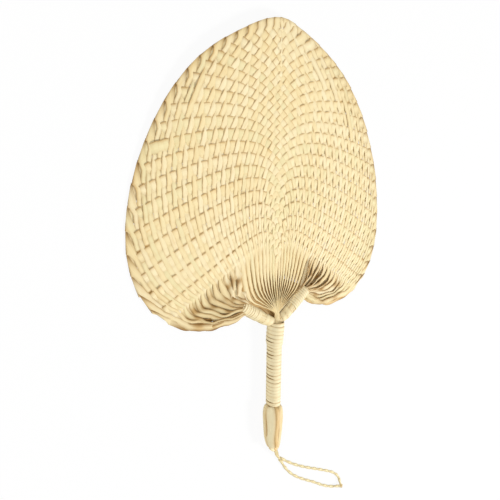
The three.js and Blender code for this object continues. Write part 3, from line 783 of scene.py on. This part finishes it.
def round_lobe(side, rank, start, way, width):
    """An outer strip, from the last row round the lobe and into the mouth of the shoulder."""
    angle = SHOULDER_ANGLE[side]
    axis = np.array([-math.sin(angle), math.cos(angle)])
    over = np.array([axis[1], -axis[0]])
    place = (rank + 0.5) / IN_MOUTH * 2 - 1
    mouth = NECK + axis * (SHOULDER_MOUTH - 5) + over * place * SHOULDER_RADIUS * 0.8
    turn = np.array([0.95, 0.30]) if place < 0 else np.array([0.75, -0.55])
    into = unit(turn * abs(place) - axis * (1 - abs(place)))
    reach = np.linalg.norm(mouth - start)
    # the outermost strip follows the edge, and the innermost takes the short way
    free = sweep(start, way * reach * 1.15, mouth, into * reach, LOBE_POINTS)
    along = np.linspace(0, 1, LOBE_POINTS)[:, None]
    rim = left_edge(np.linspace(LAST_FOLD, 1.0, LOBE_POINTS), 0.5)
    rim = rim + (1 - along) ** 4 * (start - rim[0]) + along * (mouth - rim[-1])
    outer = ((1 - place) / 2) ** 1.5
    deep = sweep(mouth, into * MOUTH_DEPTH, mouth - axis * MOUTH_DEPTH, -axis * MOUTH_DEPTH, 7)
    course = np.vstack([rim * outer + free * (1 - outer), deep[1:]])[1:]
    run = np.linspace(0, 1, len(course))
    swell = np.sin(run * math.pi)
    t = along_path(course)
    sway = hand(run * reach, LOBE_SWAY[side], 34, 19) * swell ** 0.6
    course = course + np.stack([t[:, 1], -t[:, 0]], axis=1) * sway[:, None]
    near = np.clip(1 - np.linalg.norm(course - mouth, axis=1) / 62, 0, 1)
    # every second strip lies on the ones beside it
    layer = rank % 2
    depth = math.sqrt(max(0.0, 1 - (0.8 * place) ** 2)) * SHOULDER_RADIUS * 0.62
    slack = swell * (chance.uniform(0.5, 1.0) if layer else chance.uniform(-0.45, -0.15))
    lift = (near ** 2 * (depth * layer + 0.9) + slack) * (1 - 0.85 * max(0, place) ** 2)
    spread = 0.95 + 0.35 * place + hand(run * reach, 0.12, 31, 17)
    pinched = np.where(near > 0.85, 1 - (near - 0.85) * 2.2, 1)
    wide = width + (np.minimum(width, 5.0) - width) * near
    wide = wide * (1 + spread * swell ** 0.6) * pinched
    wide = wide + 3.5 * max(0, place - 0.75) / 0.25 * swell
    turned = chance.uniform(0.0, 0.5) * swell + near * (0.4 + 0.12 * layer)
    # Two dark streaks along each strip are painted shadow, where it lies in the shade of its
    # neighbours; they go into its shade, its stain and its edges.
    shadow_streak = 0
    for first in (0.1, 0.5):
        strength = chance.uniform(0.3, 1)
        spot = chance.uniform(first, first + 0.4)
        shadow_streak = shadow_streak + strength * np.exp(-((run - spot) / 0.07) ** 2)
    # The lower layer, seen in the slits between the strips above it, is painted with shade, much more
    # on the left, and its stain carries some of it. The strips also get a little painted shade towards
    # the mouth, and painted shade along their edges.
    low = 0 if layer else swell ** 0.5
    edging = np.clip(-place, 0, 1) * swell * LOBE_EDGING[side]
    shade = 0.02 + near ** 2 * 0.10 + STREAK_SHADE[side] * shadow_streak
    shade = shade + LOWER_SHADE[side] * low * min(1, 1.3 - place)
    return stretch(course, wide, lift, shade, turned, rim=1.0,
                   stain=0.05 + 0.7 * shadow_streak + 0.5 * low + 0.3 * edging,
                   corners=0.24 * swell ** 0.5 + 0.75 * shadow_streak + 0.7 * edging,
                   crown=0.2 + near * 0.7, fold=near * 0.35)


RIB_FAN = {"left": math.radians(70), "right": math.radians(60)}
RIB_FOCUS = NECK + [0.6, 13.0]
DOWN = np.array([0.0, -9.0])
KNEE_POINTS, MEET_POINTS, NECK_POINTS = 30, 16, 9
UPPER_RIB = 0.4
LOWER_RIB = -0.6


def rib(side, rank, start, way, width):
    """An inner strip, from the last row straight to where the ribs meet, and down into the neck."""
    fan = RIB_FAN[side]
    upper = (rank + (side == "right")) % 2
    turn = (2 * ROWS - rank - 0.5) / RIBS
    ray = np.array([-math.sin(turn * fan), math.cos(turn * fan)])
    knee = RIB_FOCUS + ray * (17 + 13 * turn ** 3)
    meet = RIB_FOCUS + [-2.8 * turn, -1.5]
    end = NECK + [-3.0 * turn, -1.0]
    reach, last = np.linalg.norm(knee - start), np.linalg.norm(meet - knee)
    course = np.vstack([
        sweep(start, way * reach * 0.8, knee, -ray * reach * 0.9, KNEE_POINTS)[1:],
        sweep(knee, -ray * last, meet, DOWN, MEET_POINTS)[1:],
        sweep(meet, DOWN, end, DOWN, NECK_POINTS)[1:]])
    far = np.linalg.norm(course - RIB_FOCUS, axis=1)
    far = np.where(np.arange(len(course)) < 40, far, np.minimum(far, 3.0))
    near = np.clip(1 - (far - 4) / 66, 0, 1)
    gone = np.clip((np.linalg.norm(course - start, axis=1) - 2) / 11, 0, 1)
    lift = near ** 3 * 1.4 + gone * (chance.uniform(-0.1, 0.1) + (UPPER_RIB if upper else LOWER_RIB))
    share = np.interp(far, [6, 24, 40], [0.84, 0.86, 1.4]) if upper else 1.45
    wide = width + (np.clip(far * fan / RIBS * share, 0.9, None) - width) * gone
    wide = wide + 3.0 * max(0, turn - 0.85) / 0.15 * gone * np.clip((far - 30) / 12, 0, 1)
    # The lower strip of each pair is painted with shade, darkest towards the neck, and its stain
    # carries some of it, so that it shows as a dark valley between the upper ones.
    if upper:
        shade = 0.01
    else:
        shade = 0.02 + gone * np.interp(far, [16, 50], [1.0, 0.45]) * (1 - 0.6 * turn ** 4)
    return stretch(course, wide, lift, shade, 0.05 * gone, rim=0.7,
                   stain=0.05 + 0.06 * near + 0.60 * gone * (1 - upper),
                   crown=0.1 + 0.14 * wide * gone, fold=gone)


def below_weave(side, strip, part):
    """The loose stretch of an upright strip, from the last row down. Strips are ranked from the
    outermost."""
    start = part[-1, :2]
    way = unit(start - part[-2, :2])
    rank = strip + ROWS
    lay = round_lobe if rank < IN_MOUTH else rib
    return lay(side, rank, start, way, part[-1, WIDTH])


# The solids have ten strips for each side's 22; each stands for two or three neighbours.
SOLID_STRIPS = 10
LAST_ROW = ROWS - 0.5
LATE_ROWS = 2  # the last rows are folded further in, and their runs back are moved outward

returned = {"left": Sheaf(), "right": Sheaf()}
for side, other, start in (("left", "right", 1), ("right", "left", -1)):
    groups = [Sheaf() for _ in range(SOLID_STRIPS)]
    for i in range(ROWS):
        seed = chance.uniform(0, 1)
        stain = chance.uniform(0.0, 0.15)
        fold_stain = chance.uniform(0.2, 0.9) * min(1, 0.3 + i / 8)
        way = start if i % 2 == 0 else -start
        late = max(0, i + 1 - ROWS + LATE_ROWS)
        crease = crease_of(i, chance.uniform(0.05, 0.6) + 0.9 * late)
        # up its own half to the middle line, then as a row of the other half out to the edge
        own = upright(i, i, LAST_ROW, way)
        own = np.vstack([own, below_weave(side, i, own)])[::-1]
        row = across(i, i, min(-i, -0.1), way, -start, LOOSE_ROWS.get((other, i), NOT_LOOSE))
        row = at_fold(row, crease, -1, fold_stain, False)
        row[:, 0] *= -1
        lay_strip(groups[i * SOLID_STRIPS // ROWS], np.vstack([own, row[1:]]), seed, stain,
                  side == "right", {-1: crease[1] * [-1, 1]})
        # back down the other half, beyond the fold
        back = upright(-1 - i, min(i + 1, LAST_ROW - 0.05), LAST_ROW, way,
                       LOOSE_UPRIGHTS.get((other, -1 - i), NOT_LOOSE))
        back[:, :2] -= crease[2] * late
        back[:, WIDTH] += 0.8 * max(0, i + 2 - ROWS + LATE_ROWS)
        back = np.vstack([back, below_weave(other, -1 - i, back)])
        back = at_fold(back, crease, 1, fold_stain, True)
        lay_strip(returned[other], back, seed, stain, other == "right", {0: crease[1]})
    for group, sheaf in enumerate(groups):
        sheaf.piece(f"blade_leaves_{side}_{group + 1:02d}", "fan",
                    "pale_leaf" if side == "left" else "cream_leaf",
                    f"{side}_strip_{group + 1:02d}")
for side, sheaf in returned.items():
    sheaf.piece(f"folded_back_{side}", "fan", "dry_leaf", f"{side}_edge")


# ---- Neck
# Under the ribs lie the ends of the shoulders' inner leaves, pleated and pressed together. They
# are stained and painted with shade, darkest deep in, and show as dark slits between the ribs and
# as a dark hollow beside each shoulder.
PLEATS = 21
PLEAT_POINTS = 24
PLEAT_DEPTH = 2.2
PLEAT_FAN = {"left": RIB_FAN["left"] * 1.16, "right": RIB_FAN["right"] * 1.32}


def lay_level(sheaf, course, height, width, thickness, crown, **finish):
    """A leaf laid level along a course, at these heights."""
    centre = np.column_stack([course, height])
    t = along_path(centre)
    side = unit(np.column_stack([t[:, 1], -t[:, 0], np.zeros(len(t))]))
    sheaf.ribbon(centre - origin, side, np.cross(side, t), width, thickness, crown, **finish)


sheaf = Sheaf()
for k in range(PLEATS):
    spread = (k + 0.5) / PLEATS * 2 - 1
    outer = abs(spread)
    spread = spread * PLEAT_FAN["right" if spread > 0 else "left"]
    ray = np.array([math.sin(spread), math.cos(spread)])
    top = RIB_FOCUS + ray * (31 + 15 * outer ** 3)
    end = NECK + [spread * 2.6, -0.6]
    reach = np.linalg.norm(end - top)
    course = sweep(top, -ray * reach * 0.9, end, np.array([0.0, -1.0]) * reach * 0.9, PLEAT_POINTS)
    far = np.linalg.norm(course - RIB_FOCUS, axis=1)
    lift = -PLEAT_DEPTH - 0.5 * (k % 2) + np.linspace(0, 0.5, PLEAT_POINTS)
    lay_level(sheaf, course, dome(course[:, 0]) + lift, np.clip(far * 0.19, 2.4, 5.2), 0.4, 0.5,
              seed=chance.uniform(0, 1), stain=0.9 - 0.4 * outer ** 2, fold=1.0, side_shade=0.3,
              shade=np.interp(far, [18, 30], [1.0, 0.4]) * (1 - 0.7 * outer ** 1.5))
# one smooth leaf closes the gathering above the handle, and one crosses it from the left shoulder
for points, width, seed in (
        ([(-0.4, NECK_Y - 0.6), (0.2, NECK_Y + 5), (1.0, NECK_Y + 10), (1.2, NECK_Y + 15)], 5.6, 0.31),
        ([(-1.2, NECK_Y - 0.6), (-4.2, NECK_Y + 4.2), (-9.0, NECK_Y + 9.6), (-14.5, NECK_Y + 12)],
         3.2, 0.87)):
    course = smooth_path(points, 26)
    taper = np.interp(np.linspace(0, 1, 26), [0, 0.4, 1], [0.9, 1, 0.45])
    lay_level(sheaf, course, dome(course[:, 0]) + np.linspace(4.6, 1.4, 26), width * taper, 0.4, 0.7,
              seed=seed, stain=0.3, shade=0.03, rim=0.9)
sheaf.piece("neck_gather", "fan", "gathered_leaf", "neck_pleats")


# ---- Shoulders
# At each side of the neck the lobe's strips are gathered into a bundle, which bends down into the
# handle. A thin strip is wound round its outer part, and a wider one lower down.
def shoulder_axis(side, count=60):
    """The middle of a shoulder, from the handle up and out to its mouth."""
    sign = -1 if side == "left" else 1
    angle = SHOULDER_ANGLE[side]
    way = np.array([sign * math.sin(angle), math.cos(angle)])
    foot = np.array([sign * 3.25, NECK_Y + GAP, AXIS_Z])
    bend_flat, mouth_flat = NECK + way * 16, NECK + way * (SHOULDER_MOUTH + 1.5)
    bend = np.array([*bend_flat, dome(bend_flat[0])])
    mouth = np.array([*mouth_flat, dome(mouth_flat[0])])
    return smooth_path([foot, foot + [0, 2.9, 0], bend, (bend + mouth) / 2, mouth], count)


BUNDLE_LEAVES = 14
UNDER_LEAVES = 13
UNDER_FAN = (0.12, 1.95)
for side in ("left", "right"):
    path = shoulder_axis(side)
    _, beside, up = round_frame(path)
    reach = np.linspace(0, 1, len(path))
    radius = np.minimum(SHOULDER_RADIUS, 2.9 + 4.6 * reach / 0.55)
    sheaf = Sheaf()
    for k in range(BUNDLE_LEAVES):
        phase = 2 * math.pi * (k + 0.5) / BUNDLE_LEAVES + 0.5 * reach + chance.uniform(-0.1, 0.1)
        out = spokes(beside, up, phase)
        centre = path + out * (radius * 0.9)[:, None]
        t3 = along_path(centre)
        lay = unit(np.cross(out, t3))
        sheaf.ribbon(centre - origin, lay, np.cross(t3, lay), radius * 0.62, 0.7, 0.7,
                     seed=chance.uniform(0, 1), stain=0.25, shade=0.04, fold=0.4, side_shade=0.2,
                     rim=0.8)
    # its undermost leaves spread out below the lobe, browned and in shadow
    mouth = path[-3]
    for k in range(UNDER_LEAVES):
        spread = np.interp(k, [0, UNDER_LEAVES - 1], UNDER_FAN)
        ray = np.array([math.sin(spread) * (-1 if side == "left" else 1), math.cos(spread)])
        reach = np.linspace(0, 1, 20) * np.interp(spread, [UNDER_FAN[0], 1, UNDER_FAN[1]], [38, 46, 26])
        course = mouth[:2] + ray * reach[:, None]
        lift = -1.6 - 0.3 * (k % 2) - 1.2 * np.exp(-reach / 6)
        lay_level(sheaf, course, np.maximum(dome(course[:, 0]) + lift, 0.5), 1.6 + reach * 0.24,
                  LEAF, 0.4, seed=chance.uniform(0, 1), stain=0.5, shade=0.06, fold=0.6,
                  side_shade=0.3)
    sheaf.piece(f"shoulder_bundle_{side}", "fan", "gathered_leaf", f"{side}_shoulder")


WOUND_LEAF = 0.45  # thickness of a wound strip


def wound(sheaf, path, radius, turns, width, seed, uneven, steps=40, phase0=0.0, slits=(0,),
          rim=0.7):
    """A strip wound round a path; turns lists the places along the path, as shares of it, and
    slits how far each turn has parted from the next, on the left."""
    n = steps * (len(turns) - 1) + 1
    k = np.linspace(0, len(turns) - 1, n)
    reach = np.interp(k, np.arange(len(turns)), turns)
    share = np.linspace(0, 1, len(path))
    base, t, beside, up = (read_off(reach, share, a) for a in (path, *round_frame(path)))
    t, beside, up = unit(t), unit(beside), unit(up)
    phase = 2 * math.pi * k + phase0
    out = spokes(beside, up, phase)
    slip = hand(phase, uneven, 2 * math.pi, 17, 48, math.pi)
    r = np.interp(reach, share, np.broadcast_to(radius, share.shape)) + hand(phase, 0.12, 30, 12.6)
    centre = base + out * r[:, None] + t * slip[:, None]
    run = along_path(centre)
    lay = square_to(run, t)
    face = np.cross(lay, run)
    face = face * np.sign((face * out).sum(1, keepdims=True))
    parted = np.repeat(np.resize(slits, len(turns)), steps)[:n]
    parted = parted * np.clip((-out[:, 0] - 0.45) / 0.4, 0, 1)
    wide = width * (1 + hand(phase, 0.05, 37, 15, 7.6) - parted)
    sheaf.ribbon(centre - origin, lay, face, wide, WOUND_LEAF, 0.2, seed=seed, stain=0.05,
                 side_shade=0.12, columns=7, rim=rim)


BINDING_SEED = {"left": 0.25, "right": 0.13}
for side in ("left", "right"):
    path = shoulder_axis(side, 120)
    sheaf = Sheaf()
    turns = np.linspace(0.52, 0.985, 10) + chance.uniform(-0.006, 0.006, 10)
    wound(sheaf, path, SHOULDER_RADIUS + WOUND_LEAF, turns, 2.5, BINDING_SEED[side], uneven=0.18,
          rim=0.8)
    lower = np.interp(np.linspace(0, 1, 120), [0, 0.25, 0.55, 1], [3.6, 4.9, 5.6, 5.6])
    wound(sheaf, path, lower, [0.18, 0.31, 0.47], 5.4, 0.35, uneven=0.3, phase0=1.0)
    sheaf.piece(f"shoulder_binding_{side}", "fan", "wound_leaf", f"{side}_shoulder_binding")


# ---- Handle
# A bundle of gathered straw, wound from the butt to the neck with one flat strip. The turns lie a
# little askew, with dark slits between some on the left, and those by the neck stand out more.
BUTT_TOP = 47.5
BOW = 1.3
STRAWS = 16
STRAW_POINTS = 60
TURNS = 24
WIND_WIDTH = 3.95
WIND_STEPS = 48


def bow(y):
    """How far the handle bows to the left between the neck and the butt's end."""
    return -BOW * np.interp(y, [0, 6, 14, 104, 114, NECK_Y], [0, 0.35, 1, 1, 0.75, 0])


core_y = np.linspace(8, NECK_Y, STRAW_POINTS)
core_path = np.stack([bow(core_y), core_y, np.full(STRAW_POINTS, AXIS_Z)], axis=1)
t, beside, up = round_frame(core_path)
sheaf = Sheaf()
radius = np.interp(core_y, [8, 30, BUTT_TOP, 52, 118, 127], [3.2, 5.2, 5.3, 5.9, 5.9, 6.7])
# The straw is painted with shade, and stained, below the neck, so that the slits between the turns show
# dark; it turns pale at the top, where the leaves come in.
dark = np.interp(core_y, [116, 124], [0.75, 0.12])
for k in range(STRAWS):
    out = spokes(beside, up, 2 * math.pi * k / STRAWS + 0.4 * np.linspace(0, 1, STRAW_POINTS))
    sheaf.ribbon(core_path + out * radius[:, None] - origin, unit(np.cross(out, t)), out,
                 radius * 0.44, 0.6, 0.3, seed=chance.uniform(0, 1), stain=dark, shade=dark)
sheaf.piece("handle_straw", "fan", "gathered_leaf", "handle_core")

sheaf = Sheaf()
wind_y = np.linspace(BUTT_TOP, NECK_Y + 3.5, 200)
wind_path = np.stack([bow(wind_y), wind_y, np.full(200, AXIS_Z)], axis=1)
wind_radius = np.interp(wind_y, [47, 107, 111, 127, 131], [6.85, 6.95, 7.9, 8.0, 6.4])
turns = np.concatenate([[0], np.cumsum(chance.uniform(0.86, 1.14, TURNS))])
turns = 0.006 + turns / turns[-1] * 0.990
# how far each turn, from the butt up, has parted from the next
PARTED = [0.25, 0.3, 0, 0.15, 0.25, 0.2, 0, 0.1, 0.5, 0, 0.4, 0.3, 0, 0.05, 0.45, 0.25, 0.3, 0.45,
          0.35, 0.25, 0.05, 0, 0, 0, 0]
wound(sheaf, wind_path, wind_radius, turns, WIND_WIDTH, 0.95, uneven=0.26, steps=WIND_STEPS,
      phase0=-math.pi / 2, slits=PARTED)
sheaf.piece("handle_wrap", "fan", "wound_leaf", "handle_winding")


# ---- Butt
# Broad leaves folded back over the straw's end and drawn together to a point, their tops tucked
# under the winding. The left front one is pale, and those to its right are stained orange. Towards
# the end the front leaves lie flat, as a lid over the slot in which the loop's root turns.
butt_line = smooth_path([(2.9, 0), (6.2, 4.2), (8.2, 13.3), (9.4, 28), (9.6, 41.0), (8.5, 45.8),
                         (6.5, 47.6)], 60)
BUTT_LEAF = 1.1
BACK_RADIUS = 8.6
SLOT_TOP = {"butt_leaf_left": 4.6, "butt_leaf_right": 6.4}
LID_HEIGHT = {"butt_leaf_front": 3.5}
# the angles that each leaf spans round the butt, from the front, and its stain and seed
BUTT_LEAVES = [
    ("butt_leaf_front_left", -77, -19, 0.0, 0.27), ("butt_leaf_front", -19, 8, 0.72, 0.11),
    ("butt_leaf_front_right", 8, 64, 0.40, 0.55), ("butt_leaf_right", 64, 150, 0.35, 0.83),
    ("butt_leaf_back", 150, 210, 0.2, 0.4), ("butt_leaf_left", 210, 284, 0.12, 0.6),
]
for name, low, high, stain, seed in BUTT_LEAVES:
    middle, span = math.radians((low + high) / 2), math.radians(high - low)
    r, y = butt_line[butt_line[:, 1] >= SLOT_TOP.get(name, 0)].T
    if name == "butt_leaf_back":
        r = np.minimum(r, BACK_RADIUS)
    sag = r * (1 - math.cos(span / 2))
    out = np.array([math.sin(middle), 0, math.cos(middle)])
    lay = np.array([math.cos(middle), 0, -math.sin(middle)])
    bend = 0.4 * np.sin(np.linspace(0, 9, len(r)) + 7 * seed)
    centre = (np.stack([bow(y) + out[0] * r, y, AXIS_Z + out[2] * r], axis=1)
              - out * (sag * 0.4 + 0.6)[:, None] + lay * bend[:, None])
    lid = np.clip((5.5 - y) / 2.5, 0, 1) * (math.cos(middle) > 0)
    centre[:, 2] += lid * (AXIS_Z + LID_HEIGHT.get(name, 3.2) - centre[:, 2])
    flat = lid[:, None]
    lay = unit(lay * (1 - flat) + np.array([1.0, 0, 0]) * flat)
    out = unit(out * (1 - flat) + np.array([0, 0, 1.0]) * flat)
    sheaf = Sheaf()
    sheaf.ribbon(centre - origin, lay, out, 2 * r * math.sin(span / 2) * 1.02,
                 BUTT_LEAF - 0.5 * lid, sag * 0.92 * (1 - 0.8 * lid), seed=seed, stain=stain,
                 side_shade=0.22, columns=11, rim=1.0)
    sheaf.piece(f"folded_{name}", "fan", "folded_leaf", name)
